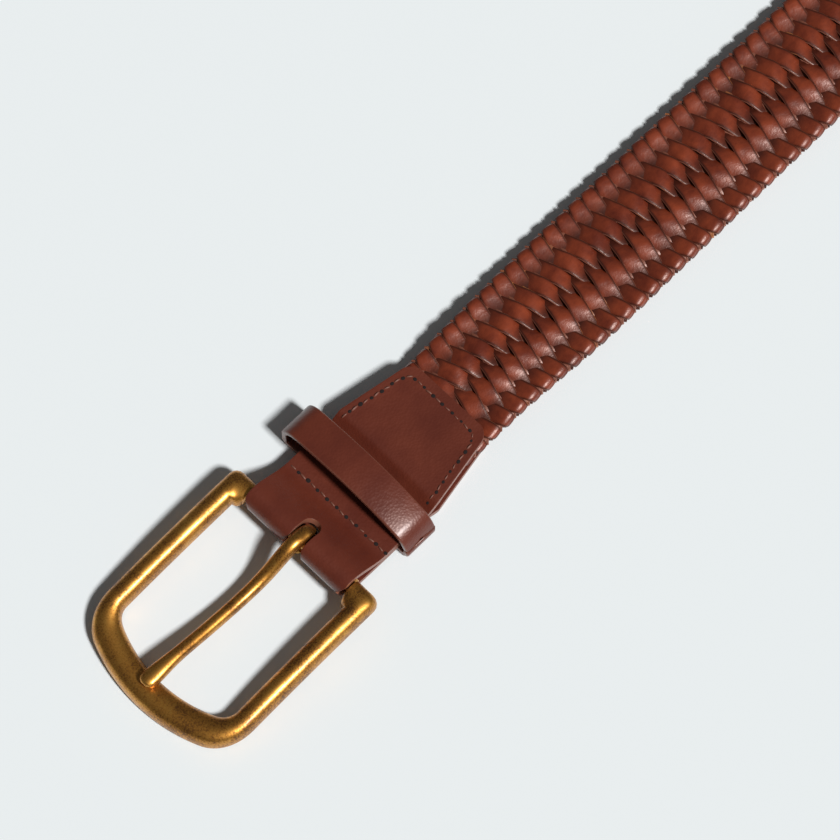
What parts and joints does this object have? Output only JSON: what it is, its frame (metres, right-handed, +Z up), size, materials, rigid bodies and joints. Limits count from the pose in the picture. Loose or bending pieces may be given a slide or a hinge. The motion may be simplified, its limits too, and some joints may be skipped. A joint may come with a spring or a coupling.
{
  "type": "braided belt",
  "caption": "Braided brown leather belt, lying flat, with a single-prong antique brass frame buckle, a folded and stitched leather chape, a leather keeper loop and a stitched tip tab.",
  "frame": {"origin": "under the middle of the whole belt, on the surface it lies on", "axes": "+X along the belt from the buckle to the tip, +Y across the belt, +Z up from the surface"},
  "size_m": [1, 0.0514, 0.0133],
  "materials": {
    "antique_brass": "satin",
    "smooth_leather": "satin",
    "braided_leather": "satin"
  },
  "bodies": {
    "strap": {"braided_strap": "braided_leather", "chape": "smooth_leather", "keeper_loop": "smooth_leather", "tip_tab": "smooth_leather"},
    "frame": {"buckle_frame": "antique_brass"},
    "prong": {"buckle_prong": "antique_brass"}
  },
  "joints": [
    {"name": "frame_hinge", "type": "hinge", "parent": "strap", "child": "frame", "pos_m": [-0.4415, 0, 0.0066], "axis": [0, 1, 0], "range_deg": [-30, 20]},
    {"name": "prong_hinge", "type": "hinge", "parent": "frame", "child": "prong", "pos_m": [-0.4415, 0, 0.0066], "axis": [0, 1, 0], "range_deg": [0, 60]}
  ]
}
